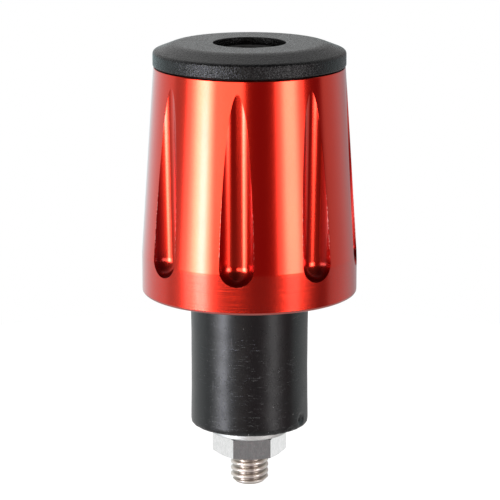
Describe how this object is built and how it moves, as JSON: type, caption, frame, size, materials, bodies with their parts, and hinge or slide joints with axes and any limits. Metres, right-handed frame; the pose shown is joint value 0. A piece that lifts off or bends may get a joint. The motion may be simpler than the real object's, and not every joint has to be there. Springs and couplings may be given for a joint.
{
  "type": "bar end weight",
  "caption": "Fluted, tapered metal handlebar end weight with a black end cap and a rubber plug that a through bolt and nut squeeze inside the bar.",
  "frame": {"origin": "centre of the weight's inner face, where the end of the handlebar stops", "axes": "+Z out along the axis to the end cap, -Z along the plug into the handlebar, -Y through the middle of one flute"},
  "size_m": [0.0329, 0.0328, 0.0691],
  "materials": {
    "red_anodised": "turned and red anodised, with a clear sheen",
    "black_cap": "fine moulded grain",
    "black_rubber": "dull, scuffed",
    "bright_zinc": "bright zinc plate",
    "bolt_steel": "plated, rolled thread"
  },
  "bodies": {
    "weight": {"weight_body": "red_anodised", "end_cap": "black_cap", "rubber_sleeve": "black_rubber"},
    "bolt": {"clamp_bolt": "bolt_steel"},
    "nut": {"plain_washer": "bright_zinc", "hex_nut": "bright_zinc"}
  },
  "joints": [
    {"name": "bolt_turn", "type": "hinge", "parent": "weight", "child": "bolt", "pos_m": [0, 0, 0], "axis": [0, 0, -1], "range_deg": [0, 1080]},
    {"name": "nut_draw", "type": "slide", "parent": "weight", "child": "nut", "axis": [0, 0, 1], "range_m": [0, 0.003], "deforming": ["rubber_sleeve"]}
  ],
  "couplings": [
    {"joint": "nut_draw", "follows": "bolt_turn", "m_per_rad": 0.00015915}
  ]
}
